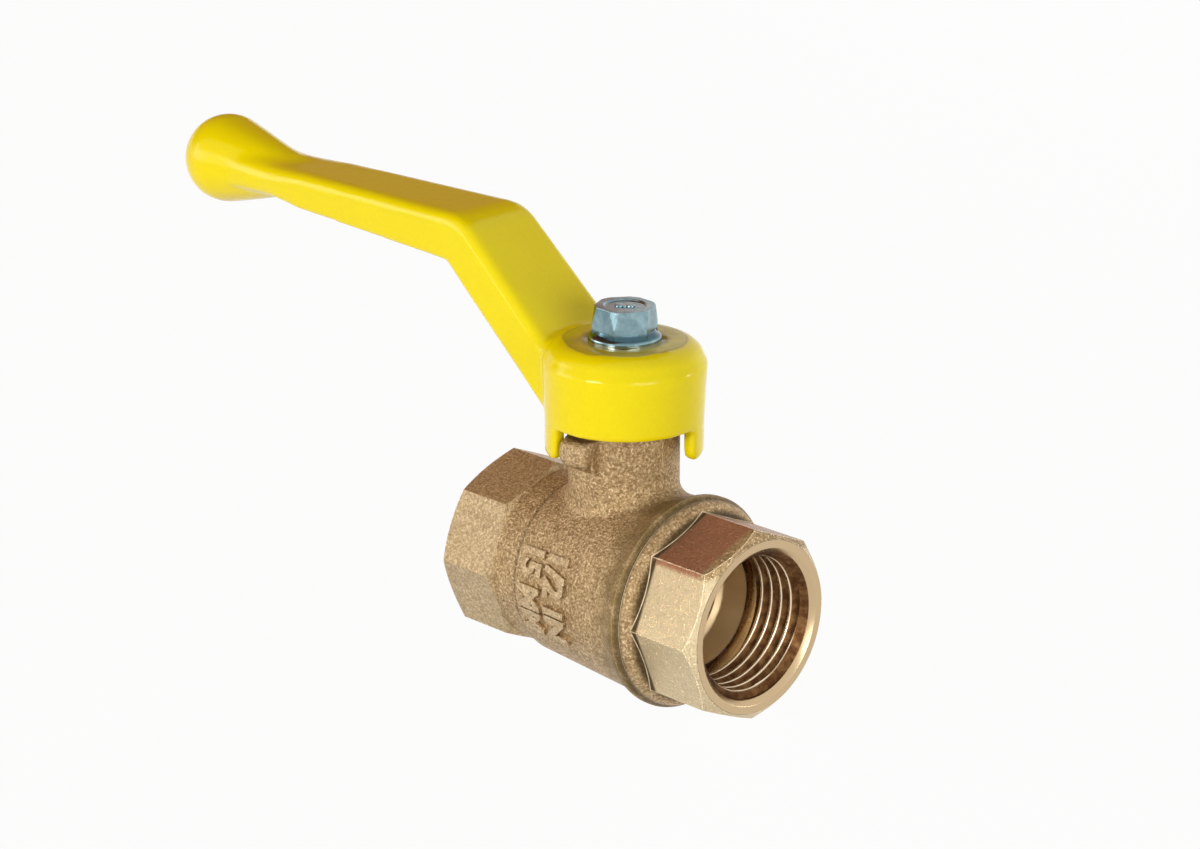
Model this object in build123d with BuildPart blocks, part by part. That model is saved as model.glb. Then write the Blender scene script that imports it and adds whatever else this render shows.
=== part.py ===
from build123d import *
from math import asin, cos, degrees, radians, sin, sqrt, tan
import os

# Lever ball valve for half inch pipe, shown open. All sizes in millimetres.
# X runs along the pipe towards the end connector, Z up the stem, and the origin is
# the ball's centre. The lever lies along -X when open and turns to +Y to close.

# Fits
running_fit = 0.05        # radial, between turned faces that fit or turn in each other
ball_room = 0.4           # between the ball and the chamber around it
seat_gap = 0.06           # between the ball and each seat
stop_gap = 0.15           # between a stop leg and the lug at either end of the turn
edge_break = 0.3          # small chamfer on turned edges

# Ball and chamber
port_r = 7.5
ball_wall = 3.5           # around the port where the ball is widest
ball_r = port_r + ball_wall
chamber_r = ball_r + ball_room

# Seats, hollowed to the ball
seat_recess = 0.15        # the seats stand this far back from the port
seat_contact = 1.35       # width of the hollow face, along the radius
seat_shoulder = 1.4       # flat ring around it
seat_inner_r = port_r + seat_recess
seat_rim_r = seat_inner_r + seat_contact
seat_outer_r = seat_rim_r + seat_shoulder
seat_lip = 1.8            # thickness behind the hollow's inner edge
hollow_r = ball_r + seat_gap
seat_front = sqrt(hollow_r**2 - seat_rim_r**2)
seat_tip = sqrt(hollow_r**2 - seat_inner_r**2)
seat_back = seat_tip + seat_lip
shelf = 1.3               # wall behind each seat

# Pipe threads, G 1/2
pipe_thread_r = 10.48     # major radius, the bore's wall; the ridges stand inside it
pipe_thread_length = 10.0
undercut_width = 1.0
undercut_depth = 0.25
entry_flare = 0.72        # countersink at the mouth
throat_r = 8.7            # turned bore behind the thread
throat_rear = 0.2         # its straight length at the body's plain end
throat_front = 3.2        # and in the end connector
cone_start = seat_back + shelf + throat_r - port_r
thread_depth = undercut_width + pipe_thread_length
rear_reach = cone_start + throat_rear + thread_depth
front_reach = cone_start + throat_front + thread_depth

# Wrench ends, octagonal, with a corner on top
across_flats = 25.5
octagon_length = 10.2
face_inset = 0.25         # the end face's circle lies this far inside the flats
face_circle_r = across_flats / 2 - face_inset
corner_slope = 30.0       # degrees from the end face
mouth_face_inset = 0.45   # the end connector's corners are turned down further
mouth_corner_slope = 40.0
mouth_circle_r = across_flats / 2 - mouth_face_inset

# Barrel of the body
barrel_wall = 2.4
barrel_r = chamber_r + barrel_wall
barrel_taper = 0.55       # the forging grows this much from its middle to the mouth
waist_inset = 0.05        # the waist is this far inside the flats
band_margin = 0.6         # between the neck and the waist's shoulder
band_step = 0.25
joint_ledge = 0.9         # the joint's thread is this much wider than the chamber
mouth_wall = 2.9          # around that thread
mouth_rim = 1.3           # length of the widest part
mouth_flare = 2.0         # length over which the barrel widens to it
mouth_margin = 2.8        # from the ball's side to the joint face
joint_drop = 0.5          # both pieces fall this far towards the joint's line
joint_crown = 0.7         # length of that fall on the body
waist_r = across_flats / 2 - waist_inset
joint_thread_r = chamber_r + joint_ledge
mouth_r = joint_thread_r + mouth_wall
mouth_end = ball_r + mouth_margin
mouth_start = mouth_end - mouth_rim
band_end = mouth_start - mouth_flare
barrel_root = octagon_length - rear_reach
barrel_start = barrel_root - 1.0    # the barrel is rooted in the plain end

# End connector
connector_overlap = 0.25  # the connector's end reaches past the seat's front edge
shoulder_gap = 0.3        # and stays this far off the body's inner shoulder
connector_start = seat_front - connector_overlap
thread_shoulder = connector_start - shoulder_gap
joint_break = 0.15        # the flange's edge at the joint
flange_thickness = 2.3
flange_ridge = 1.2        # from the joint face to the ridge, where the front slope starts
ridge_drop = 0.5          # the ridge lies this far below the joint's line
ridge_rounding = 0.5
flange_r = mouth_r - joint_drop
ridge_x = mouth_end + flange_ridge
ridge_r = flange_r - ridge_drop
flange_front = mouth_end + flange_thickness
flange_foot_r = across_flats / 2 - waist_inset

# Stem and what seals it, from the chamber's roof upwards
stem_r = 4.6
collar_ledge = 0.9
collar_r = stem_r + collar_ledge
collar_height = 1.8
washer_thickness = 0.8
washer_bottom = chamber_r + collar_height
pocket_top = washer_bottom + washer_thickness
o_ring_wire = 0.9
groove_width = 1.2
groove_land = 0.9         # between grooves, and beside them
lower_groove = pocket_top + groove_land
upper_groove = lower_groove + groove_width + groove_land
packing_seat = upper_groove + groove_width + groove_land
packing_height = 2.2
packing_top = packing_seat + packing_height
tongue_thickness = 4.0
tongue_inset = 0.8        # the tongue ends inside the collar
slot_web = 1.3            # left between the slot and the port
tongue_reach = collar_r - tongue_inset
slot_floor = port_r + slot_web
slot_play = 0.1           # each side of the tongue and under it
stem_square = 7.0         # square that drives the lever

# Neck and gland nut
neck_r = 7.8
saddle_radius = 2.2
neck_wall = 1.5           # around the gland nut's thread
gland_thread_r = neck_r - neck_wall
gland_thread_length = 4.1
gland_inset = 1.3         # the nut's flats lie this far inside the neck
gland_across_flats = 2 * (neck_r - gland_inset)
gland_head = 2.6
neck_top = packing_top + gland_thread_length
gland_top = neck_top + gland_head
band_start = -neck_r - band_margin

# Lever hub, a cap over the neck
skirt_room = 1.3          # between the neck and the skirt
skirt_wall = 2.0
skirt_overlap = 1.9       # how far the skirt comes down over the neck
web_room = 0.8            # over the gland nut
web_thickness = 6.4
draft = 0.4               # the hub is wider at its shoulder
shoulder_drop = 3.0       # the top falls in two slopes, from the land to the shoulder
rim_drop = 1.0
rim_inset = 1.0
land_inset = 1.5          # flat land under the screw, inside the rim
skirt_inner_r = neck_r + skirt_room
skirt_r = skirt_inner_r + skirt_wall
skirt_bottom = neck_top - skirt_overlap
web_bottom = gland_top + web_room
land_z = web_bottom + web_thickness
shoulder_r = skirt_r + draft
shoulder_z = land_z - shoulder_drop
rim_r = shoulder_r - rim_inset
rim_z = land_z - rim_drop
land_r = rim_r - land_inset
hub_rounding = 2.0
square_play = 0.08

# Stop lug on the neck and stop legs on the hub
lug_half_width = 2.65
lug_inset = 0.4           # the nose stands this far inside the skirt
lug_rooting = 0.9         # how deep the lug is rooted in the neck's wall
lug_room = 0.9            # under the skirt
lug_reach = skirt_r - lug_inset
lug_root = neck_r - lug_rooting
lug_top = skirt_bottom - lug_room
lug_nose_height = 3.55
lug_root_height = 5.0
lug_rounding = 1.2
leg_length = 4.6
leg_rooting = 1.0         # how far a leg runs up into the skirt's wall
leg_bottom = skirt_bottom - leg_length
leg_turn = 33.0           # degrees of the skirt that each leg takes
leg_corner = 1.4
leg_edge = 0.5

# Lever arm, from the hub over the knee to the grip end
arm_inset = 4.1           # the arm's sides lie this far inside the hub's
arm_width = 2 * (shoulder_r - arm_inset)
arm_foot_depth = 5.8      # how far the arm runs on inside the hub
arm_rise = 39.4           # degrees, from the hub to the knee
arm_depth = 7.4           # square to the steep part
arm_foot_x = arm_foot_depth - skirt_r
ramp_inset = 1.41         # the ramp's top line meets the hub this far inside its rim
knee_height = 13.45       # over the hub's land
slope = tan(radians(arm_rise))
knee_z = land_z + knee_height
knee_x = ramp_inset - rim_r - (knee_z - rim_z) / slope
knee_rounding = 8.0
grip_depth = 7.0          # behind the knee
tip_depth = 4.5           # at the grip end
tip_width = 10.8
tip_drop = 0.75           # the grip falls this much from the knee to its end
tip_top = knee_z - tip_drop
arm_top_edge = 1.6
arm_bottom_edge = 0.6
foot_blend = 1.0          # hollow rounding between the arm and the hub's top

# Grip end
bulb_x = -87.6
bulb_r = 6.85
bulb_flare = 13.0         # half angle of the cone that runs back into the arm
bulb_tail = 17.0          # length of that cone from the bulb's centre
bulb_z = tip_top - tip_depth / 2
tip_cover = 3.8           # the bulb's middle lies this far past the bar's end
tip_x = bulb_x + tip_cover

# Flanged lever screw, M5
screw_thread_r = 2.45
screw_length = 10.0
tap_room = 2.0
tapped_depth = screw_length + tap_room
screw_across_flats = 8.0
screw_head_height = 5.0
screw_head_turn = -4.0    # degrees, one corner from +X
screw_flange_r = 5.1
screw_flange_edge = 0.8
screw_flange_slope = 0.6
screw_corner_trim = 3.4   # the head's corners are turned away down to here
screw_dish_r = 2.9
screw_dish_depth = 0.2
screw_dish_slope = 45.0   # degrees
screw_corner_ratio = 1 / cos(radians(30))
screw_corner_room = screw_across_flats / 2 * (screw_corner_ratio - 1)
screw_trim_drop = screw_corner_trim * screw_across_flats / 2 / screw_corner_room
square_inset = 0.8        # the stem ends this far under the land
square_top = land_z - square_inset


# Half section for turning about the pipe, drawn below it so the seam lies underneath
def turned_section(outline):
    with BuildSketch(Plane.XZ) as section:
        with BuildLine():
            Polyline([(x, -r) for x, r in outline], close=True)
        make_face()
    return section.sketch


# Turned surface inside one end, from the mouth to the seat's pocket
def end_bore(side, reach, pocket_start):
    thread_end = reach - pipe_thread_length
    undercut_end = thread_end - undercut_width
    undercut_r = pipe_thread_r + undercut_depth
    pocket_r = seat_outer_r + running_fit
    outline = [
        (reach, 0),
        (reach, pipe_thread_r + entry_flare),
        (reach - entry_flare, pipe_thread_r),
        (thread_end, pipe_thread_r),
        (thread_end, undercut_r),
        (undercut_end, undercut_r),
        (undercut_end, throat_r),
        (cone_start, throat_r),
        (seat_back + shelf, port_r),
        (seat_back, port_r),
        (seat_back, pocket_r),
        (pocket_start, pocket_r),
        (pocket_start, 0),
    ]
    return turned_section([(side * x, r) for x, r in outline])


# Ring that turns an octagon's corners down to a circle at face_x
def corner_ring(face_x, inward, circle_r, from_face):
    outside = across_flats
    depth = (outside - circle_r) * tan(radians(from_face))
    cut_x = face_x + inward * depth
    return turned_section([(face_x, circle_r), (cut_x, outside), (face_x, outside)])


# Body: barrel, plain end, neck and stop lug in one forging
barrel_outline = [
    (barrel_start, 0),
    (barrel_start, waist_r),
    (band_start - edge_break, waist_r),
    (band_start + edge_break, barrel_r - barrel_taper),
    (band_end - edge_break, barrel_r + barrel_taper),
    (band_end + edge_break, barrel_r + barrel_taper + band_step),
    (mouth_start, mouth_r),
    (mouth_end - joint_crown, mouth_r),
    (mouth_end, flange_r),
    (mouth_end, 0),
]
chamber_outline = [
    (-seat_front, 0),
    (-seat_front, chamber_r),
    (thread_shoulder, chamber_r),
    (thread_shoulder, joint_thread_r + running_fit),
    (mouth_end, joint_thread_r + running_fit),
    (mouth_end, 0),
]
with BuildPart() as body:
    revolve(turned_section(barrel_outline), axis=Axis.X)
    with BuildSketch(Plane.XY):
        Circle(neck_r)
    extrude(amount=neck_top)
    fillet(body.edges().filter_by(GeomType.BSPLINE), saddle_radius)
    with BuildSketch(Plane.YZ.offset(-rear_reach)):
        RegularPolygon(across_flats / 2, 8, major_radius=False)
    extrude(amount=octagon_length)
    end_ring = corner_ring(-rear_reach, 1, face_circle_r, corner_slope)
    revolve(end_ring, axis=Axis.X, mode=Mode.SUBTRACT)
    waist_ring = corner_ring(barrel_root, -1, waist_r, corner_slope)
    revolve(waist_ring, axis=Axis.X, mode=Mode.SUBTRACT)
    with BuildSketch(Plane.YZ.offset(-lug_half_width)):
        with BuildLine():
            Polyline(
                (-lug_root, lug_top),
                (-lug_reach, lug_top),
                (-lug_reach, lug_top - lug_nose_height),
                (-neck_r, lug_top - lug_root_height),
                (-lug_root, lug_top - lug_root_height),
                close=True,
            )
        make_face()
    extrude(amount=2 * lug_half_width)
    nose = body.faces().filter_by(Axis.Y).sort_by(Axis.Y)[0]
    fillet(nose.edges(), lug_rounding)
    revolve(turned_section(chamber_outline), axis=Axis.X, mode=Mode.SUBTRACT)
    revolve(end_bore(-1, rear_reach, seat_front), axis=Axis.X, mode=Mode.SUBTRACT)
    with BuildSketch(Plane.XY):
        Circle(collar_r + running_fit)
    extrude(amount=pocket_top, mode=Mode.SUBTRACT)
    with Locations((0, 0, neck_top)):
        CounterBoreHole(
            stem_r + running_fit,
            gland_thread_r + running_fit,
            neck_top - packing_seat,
            depth=neck_top,
        )
    chamfer(body.faces().sort_by(Axis.Z)[-1].edges(), edge_break)
body.part.label = "body"


# End connector: the thread that screws into the body, flange and octagon
connector_outline = [
    (connector_start, 0),
    (connector_start, joint_thread_r - edge_break),
    (connector_start + edge_break, joint_thread_r),
    (mouth_end, joint_thread_r),
    (mouth_end, flange_r - joint_break),
    (mouth_end + joint_break, flange_r),
    (ridge_x, ridge_r),
    (flange_front, flange_foot_r),
    (flange_front, 0),
]
with BuildPart() as end_connector:
    revolve(turned_section(connector_outline), axis=Axis.X)
    ridge = end_connector.edges().filter_by(GeomType.CIRCLE).group_by(Axis.X)[-2]
    fillet(ridge, ridge_rounding)
    with BuildSketch(Plane.YZ.offset(mouth_end + edge_break)):
        RegularPolygon(across_flats / 2, 8, major_radius=False)
    extrude(amount=front_reach - mouth_end - edge_break)
    end_ring = corner_ring(front_reach, -1, mouth_circle_r, mouth_corner_slope)
    revolve(end_ring, axis=Axis.X, mode=Mode.SUBTRACT)
    revolve(
        end_bore(1, front_reach, connector_start), axis=Axis.X, mode=Mode.SUBTRACT
    )
end_connector.part.label = "end_connector"


# Ball with its port and the slot for the stem's tongue
with BuildPart() as ball:
    Sphere(ball_r)
    with BuildSketch(Plane.YZ):
        Circle(port_r)
    extrude(amount=ball_r, both=True, mode=Mode.SUBTRACT)
    with BuildSketch(Plane.XY.offset(slot_floor)):
        Rectangle(tongue_thickness + 2 * slot_play, 2 * ball_r)
    extrude(amount=ball_r, mode=Mode.SUBTRACT)
ball.part.label = "ball"


# Seats: rings with a hollow face that follows the ball, alike on both sides of it
with BuildPart() as connector_seat:
    with BuildSketch(Plane.XZ):
        with BuildLine():
            RadiusArc((seat_tip, seat_inner_r), (seat_front, seat_rim_r), -hollow_r)
            Polyline(
                (seat_front, seat_rim_r),
                (seat_front, seat_outer_r),
                (seat_back, seat_outer_r),
                (seat_back, seat_inner_r),
                (seat_tip, seat_inner_r),
            )
        make_face()
    revolve(axis=Axis.X)
connector_seat.part.label = "seat_front"

with BuildPart() as body_seat:
    mirror(connector_seat.part, about=Plane.YZ)
body_seat.part.label = "seat_rear"


# Stem: tongue, collar that can't blow out, grooves, square and tapped top
with BuildPart() as stem:
    with BuildSketch(Plane.XY.offset(slot_floor + slot_play)):
        Rectangle(tongue_thickness, 2 * tongue_reach)
    extrude(amount=chamber_r - slot_floor - slot_play)
    with BuildSketch(Plane.XY.offset(chamber_r)):
        Circle(collar_r)
    extrude(amount=collar_height)
    with BuildSketch(Plane.XY.offset(washer_bottom)):
        Circle(stem_r)
    extrude(amount=web_bottom - washer_bottom)
    with BuildSketch(Plane.XY.offset(web_bottom)):
        Circle(stem_r)
        Rectangle(stem_square, stem_square, mode=Mode.INTERSECT)
    extrude(amount=square_top - web_bottom)
    chamfer(stem.faces().sort_by(Axis.Z)[-1].edges(), edge_break)
    for groove in (lower_groove, upper_groove):
        with BuildSketch(Plane.XY.offset(groove)):
            Circle(stem_r)
            Circle(stem_r - o_ring_wire, mode=Mode.SUBTRACT)
        extrude(amount=groove_width, mode=Mode.SUBTRACT)
    with Locations((0, 0, square_top)):
        Hole(screw_thread_r + running_fit, depth=tapped_depth)
stem.part.label = "stem"


# Flat ring about the stem
def stem_ring(bottom, height, outer_r):
    with BuildPart() as ring:
        with BuildSketch(Plane.XY.offset(bottom)):
            Circle(outer_r)
            Circle(stem_r + running_fit, mode=Mode.SUBTRACT)
        extrude(amount=height)
    return ring


# O ring in the middle of its groove
def o_ring(groove):
    with BuildPart() as ring:
        with BuildSketch(Plane.XZ):
            with Locations((stem_r - o_ring_wire / 2, groove + groove_width / 2)):
                Circle(o_ring_wire / 2)
        revolve(axis=Axis.Z)
    return ring


thrust_washer = stem_ring(washer_bottom, washer_thickness, collar_r)
thrust_washer.part.label = "thrust_washer"
packing = stem_ring(packing_seat, packing_height, gland_thread_r)
packing.part.label = "packing"
lower_o_ring = o_ring(lower_groove)
lower_o_ring.part.label = "lower_o_ring"
upper_o_ring = o_ring(upper_groove)
upper_o_ring.part.label = "upper_o_ring"


# Gland nut that presses the packing down
with BuildPart() as gland_nut:
    with BuildSketch(Plane.XY.offset(packing_top)):
        Circle(gland_thread_r)
    extrude(amount=gland_thread_length)
    with BuildSketch(Plane.XY.offset(neck_top)):
        RegularPolygon(gland_across_flats / 2, 6, major_radius=False)
    extrude(amount=gland_head)
    with Locations((0, 0, gland_top)):
        Hole(stem_r + running_fit)
gland_nut.part.label = "gland_nut"


# Arm seen from the side: up from the hub, over the knee, out to the grip end
steep_top = knee_z + slope * knee_x
steep_bottom = steep_top - arm_depth / cos(radians(arm_rise))
knee_bottom = knee_z - grip_depth


def arm_side():
    with BuildSketch(Plane.XZ) as section:
        with BuildLine():
            Polyline(
                (arm_foot_x, steep_top - slope * arm_foot_x),
                (knee_x, knee_z),
                (tip_x, tip_top),
                (tip_x, tip_top - tip_depth),
                ((steep_bottom - knee_bottom) / slope, knee_bottom),
                (arm_foot_x, steep_bottom - slope * arm_foot_x),
                close=True,
            )
        make_face()
        knee = section.vertices().sort_by_distance((knee_x, knee_z, 0))[0]
        fillet(knee, knee_rounding)
    return section.sketch


# Arm seen from above: one long taper
def arm_plan():
    with BuildSketch(Plane.XY) as plan:
        with BuildLine():
            Polyline(
                (arm_foot_x, arm_width / 2),
                (tip_x, tip_width / 2),
                (tip_x, -tip_width / 2),
                (arm_foot_x, -arm_width / 2),
                close=True,
            )
        make_face()
    return plan.sketch


# The arm's two flanks, told by the way they face
def flank_edges():
    flanks = lever.faces().filter_by(lambda f: abs(f.normal_at().Y) > 0.9)
    return flanks.edges()


# How far a point of the arm lies above the arm's own middle line
def above_middle(point):
    steep_middle = (steep_top + steep_bottom) / 2 - slope * point.X
    return point.Z - min(steep_middle, (knee_z + knee_bottom) / 2)


# Hub, turned about the stem
def hub_section():
    with BuildSketch(Plane.XZ) as section:
        with BuildLine():
            Polyline(
                (0, skirt_bottom),
                (skirt_r, skirt_bottom),
                (shoulder_r, shoulder_z),
                (rim_r, rim_z),
                (land_r, land_z),
                (0, land_z),
                close=True,
            )
        make_face()
        corners = section.vertices()
        shoulder = corners.sort_by_distance((shoulder_r, shoulder_z, 0))[0]
        rim_corner = corners.sort_by_distance((rim_r, rim_z, 0))[0]
        land_corner = corners.sort_by_distance((land_r, land_z, 0))[0]
        fillet([shoulder, rim_corner, land_corner], hub_rounding)
    return section.sketch


# Grip end: a ball with a cone that runs back into the arm
def bulb_section():
    flare = radians(bulb_flare)
    tangent = (bulb_x + bulb_r * sin(flare), bulb_z + bulb_r * cos(flare))
    tail_x = bulb_x + bulb_tail
    tail_z = tangent[1] - (tail_x - tangent[0]) * tan(flare)
    with BuildSketch(Plane.XZ) as section:
        with BuildLine():
            RadiusArc((bulb_x - bulb_r, bulb_z), tangent, bulb_r)
            Polyline(
                tangent,
                (tail_x, tail_z),
                (tail_x, bulb_z),
                (bulb_x - bulb_r, bulb_z),
            )
        make_face()
    return section.sketch


# One stop leg, a length of the skirt carried down beside the lug. Its near face is
# square to the pipe, so that it meets the lug's side flat.
def leg_plan():
    near_x = -lug_half_width - stop_gap
    near_turn = 270 - degrees(asin(-near_x / skirt_r))
    far_turn = radians(near_turn - leg_turn)
    beyond = 2 * skirt_r
    with BuildSketch(Plane.XY.offset(leg_bottom)) as plan:
        Circle(skirt_r)
        Circle(skirt_inner_r, mode=Mode.SUBTRACT)
        with BuildLine():
            Polyline(
                (near_x, 0),
                (near_x, -beyond),
                (beyond * cos(far_turn), beyond * sin(far_turn)),
                close=True,
            )
        make_face(mode=Mode.INTERSECT)
    return plan.sketch


# Lever: cranked arm, hub with skirt and two stop legs, grip end, one casting
with BuildPart() as lever:
    extrude(arm_side(), amount=arm_width, both=True)
    extrude(arm_plan(), amount=2 * knee_z, both=True, mode=Mode.INTERSECT)
    top_edges = flank_edges().filter_by(lambda e: above_middle(e.center()) > 1)
    fillet(top_edges, arm_top_edge)
    bottom_edges = flank_edges().filter_by(lambda e: above_middle(e.center()) < -2)
    fillet(bottom_edges, arm_bottom_edge)
    revolve(hub_section(), axis=Axis.Z)
    crossing = lever.edges(Select.NEW)
    blend_from = shoulder_z - hub_rounding
    fillet(crossing.filter_by(lambda e: e.center().Z > blend_from), foot_blend)
    revolve(bulb_section(), axis=Axis((bulb_x, 0, bulb_z), (1, 0, 0)))
    with BuildSketch(Plane.XY.offset(skirt_bottom)):
        Circle(arm_width)
    extrude(amount=-leg_length, mode=Mode.SUBTRACT)
    with BuildSketch(Plane.XY.offset(skirt_bottom)):
        Circle(skirt_inner_r)
    extrude(amount=web_bottom - skirt_bottom, mode=Mode.SUBTRACT)
    with BuildSketch(Plane.XY.offset(web_bottom)):
        Rectangle(stem_square + 2 * square_play, stem_square + 2 * square_play)
    extrude(amount=web_thickness, mode=Mode.SUBTRACT)
    leg = extrude(leg_plan(), amount=leg_length + leg_rooting)
    mirror(leg, about=Plane(origin=(0, 0, 0), x_dir=(1, -1, 0), z_dir=(1, 1, 0)))
    leg_ends = lever.edges().group_by(Axis.Z)[0]
    fillet(leg_ends.filter_by(GeomType.LINE), leg_corner)
    fillet(lever.edges().group_by(Axis.Z)[0].filter_by(GeomType.CIRCLE), leg_edge)
lever.part.label = "lever"


# Screw that holds the lever down on the stem
def screw_flange_section():
    flange_top = land_z + screw_flange_edge
    with BuildSketch(Plane.XZ) as section:
        with BuildLine():
            Polyline(
                (0, land_z),
                (screw_flange_r - edge_break / 2, land_z),
                (screw_flange_r, land_z + edge_break / 2),
                (screw_flange_r, flange_top - edge_break / 2),
                (screw_flange_r - edge_break / 2, flange_top),
                (screw_across_flats / 2, flange_top + screw_flange_slope),
                (0, flange_top + screw_flange_slope),
                close=True,
            )
        make_face()
    return section.sketch


with BuildPart() as lever_screw:
    head_top = land_z + screw_head_height
    with BuildSketch(Plane.XY.offset(land_z)):
        RegularPolygon(
            screw_across_flats / 2, 6, major_radius=False, rotation=screw_head_turn
        )
    extrude(amount=screw_head_height)
    with BuildSketch(Plane.XZ):
        with BuildLine():
            Polyline(
                (screw_across_flats / 2, head_top),
                (screw_across_flats, head_top),
                (screw_across_flats, head_top - screw_trim_drop),
                close=True,
            )
        make_face()
    revolve(axis=Axis.Z, mode=Mode.SUBTRACT)
    revolve(screw_flange_section(), axis=Axis.Z)
    with BuildSketch(Plane.XY.offset(head_top)):
        Circle(screw_dish_r)
    extrude(amount=-screw_dish_depth, taper=screw_dish_slope, mode=Mode.SUBTRACT)
    with BuildSketch(Plane.XY.offset(land_z - screw_length)):
        Circle(screw_thread_r)
    extrude(amount=screw_length)
    chamfer(lever_screw.faces().sort_by(Axis.Z)[0].edges(), edge_break)
lever_screw.part.label = "lever_screw"


os.makedirs("parts", exist_ok=True)
export_step(body.part, "parts/body.step")
export_step(end_connector.part, "parts/end_connector.step")
export_step(ball.part, "parts/ball.step")
export_step(connector_seat.part, "parts/seat_front.step")
export_step(body_seat.part, "parts/seat_rear.step")
export_step(stem.part, "parts/stem.step")
export_step(thrust_washer.part, "parts/thrust_washer.step")
export_step(lower_o_ring.part, "parts/lower_o_ring.step")
export_step(upper_o_ring.part, "parts/upper_o_ring.step")
export_step(packing.part, "parts/packing.step")
export_step(gland_nut.part, "parts/gland_nut.step")
export_step(lever.part, "parts/lever.step")
export_step(lever_screw.part, "parts/lever_screw.step")
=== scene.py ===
import math

import bmesh
import bpy
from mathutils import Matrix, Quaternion, Vector


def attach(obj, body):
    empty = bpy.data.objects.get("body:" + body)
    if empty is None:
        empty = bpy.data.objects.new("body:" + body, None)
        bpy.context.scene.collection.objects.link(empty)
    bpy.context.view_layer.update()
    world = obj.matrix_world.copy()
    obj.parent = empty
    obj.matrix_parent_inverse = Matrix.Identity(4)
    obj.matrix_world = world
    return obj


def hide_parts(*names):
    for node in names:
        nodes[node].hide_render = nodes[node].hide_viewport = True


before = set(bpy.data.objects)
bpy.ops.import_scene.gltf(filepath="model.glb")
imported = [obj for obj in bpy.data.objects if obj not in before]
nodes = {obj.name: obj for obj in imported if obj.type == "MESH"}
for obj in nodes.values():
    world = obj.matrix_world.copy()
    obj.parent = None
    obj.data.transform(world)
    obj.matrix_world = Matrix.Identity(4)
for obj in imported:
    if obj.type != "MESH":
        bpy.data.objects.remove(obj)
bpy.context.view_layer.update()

# Lever ball valve for half inch pipe, dressed for its looks.
# Dictionaries hold millimetres and degrees; mm() turns a length into metres.
# The pipe runs along X, the stem and the lever's turning axis along Z.


def mm(length):
    return length * 0.001


print("frame loaded:", len(nodes), "nodes")


# Camera: where the photograph was taken from
viewpoint = {
    "azimuth": 45.8136,
    "elevation": 18.0579,
    "roll": 0.2,
    "distance": 453.0,
    "aim": (-4.85, 0.0, 21.561),
    "lens": 96.918,
    "sensor": 36,
    "nearest": 10,
    "farthest": 20000,
}


def makeCamera(settings):
    data = bpy.data.cameras.new("camera")
    data.sensor_width = settings["sensor"]
    data.lens = settings["lens"]
    data.clip_start = mm(settings["nearest"])
    data.clip_end = mm(settings["farthest"])
    camera = bpy.data.objects.new("camera", data)
    bpy.context.scene.collection.objects.link(camera)
    turn = math.radians(settings["azimuth"])
    rise = math.radians(settings["elevation"])
    back = Vector((
        math.sin(turn) * math.cos(rise),
        -math.cos(turn) * math.cos(rise),
        math.sin(rise),
    ))
    aim = Vector(settings["aim"]) * mm(1)
    camera.location = aim + back * mm(settings["distance"])
    roll = Quaternion((0, 0, 1), math.radians(settings["roll"]))
    camera.rotation_euler = (back.to_track_quat("Z", "Y") @ roll).to_euler()
    bpy.context.scene.camera = camera


makeCamera(viewpoint)


# Shared helpers for materials
def startMaterial(name, shaderValues):
    material = bpy.data.materials.new(name)
    material.use_nodes = True
    tree = material.node_tree
    shader = tree.nodes["Principled BSDF"]
    for key, value in shaderValues.items():
        shader.inputs[key].default_value = value
    where = tree.nodes.new("ShaderNodeTexCoord").outputs["Object"]
    return material, tree, shader, where


def addNode(tree, kind, sockets=None, **options):
    node = tree.nodes.new(kind)
    for key, value in options.items():
        setattr(node, key, value)
    for key, value in (sockets or {}).items():
        if isinstance(value, bpy.types.NodeSocket):
            tree.links.new(value, node.inputs[key])
        else:
            node.inputs[key].default_value = value
    return node


def calculate(tree, operation, first, second=0.0, third=0.0):
    sockets = {0: first, 1: second, 2: third}
    return addNode(tree, "ShaderNodeMath", sockets, operation=operation).outputs[0]


def mixColours(tree, factor, first, second):
    node = tree.nodes.new("ShaderNodeMix")
    node.data_type = "RGBA"
    for index, value in ((0, factor), (6, first), (7, second)):
        if isinstance(value, bpy.types.NodeSocket):
            tree.links.new(value, node.inputs[index])
        else:
            node.inputs[index].default_value = value
    return node.outputs[2]


def speckle(tree, where, grain, detail=2.0, roughness=0.5):
    # Noise whose spots are about one grain, in millimetres, across
    sockets = {
        "Vector": where, "Scale": 1 / mm(grain), "Detail": detail, "Roughness": roughness,
    }
    return addNode(tree, "ShaderNodeTexNoise", sockets).outputs["Fac"]


def ramp(tree, value, low, high, toLow=0.0, toHigh=1.0, smooth=False):
    sockets = {0: value, 1: low, 2: high, 3: toLow, 4: toHigh}
    style = "SMOOTHSTEP" if smooth else "LINEAR"
    node = addNode(tree, "ShaderNodeMapRange", sockets, interpolation_type=style)
    return node.outputs[0]


def bumped(tree, height, depth, under=None):
    # Height runs from 0 to 1 and stands for depth millimetres
    sockets = {"Height": height, "Distance": mm(depth), "Strength": 1.0}
    if under is not None:
        sockets["Normal"] = under
    return addNode(tree, "ShaderNodeBump", sockets).outputs["Normal"]


def place(tree, where):
    parts = addNode(tree, "ShaderNodeSeparateXYZ", {0: where})
    return parts.outputs[0], parts.outputs[1], parts.outputs[2]


def distance(tree, first, second):
    # How far a point is from the axis that first and second are measured from
    squares = calculate(tree, "MULTIPLY_ADD", first, first, calculate(
        tree, "MULTIPLY", second, second
    ))
    return calculate(tree, "SQRT", squares)


def larger(tree, first, second):
    return calculate(tree, "MAXIMUM", first, second)


def product(tree, first, second):
    return calculate(tree, "MULTIPLY", first, second)


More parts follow.
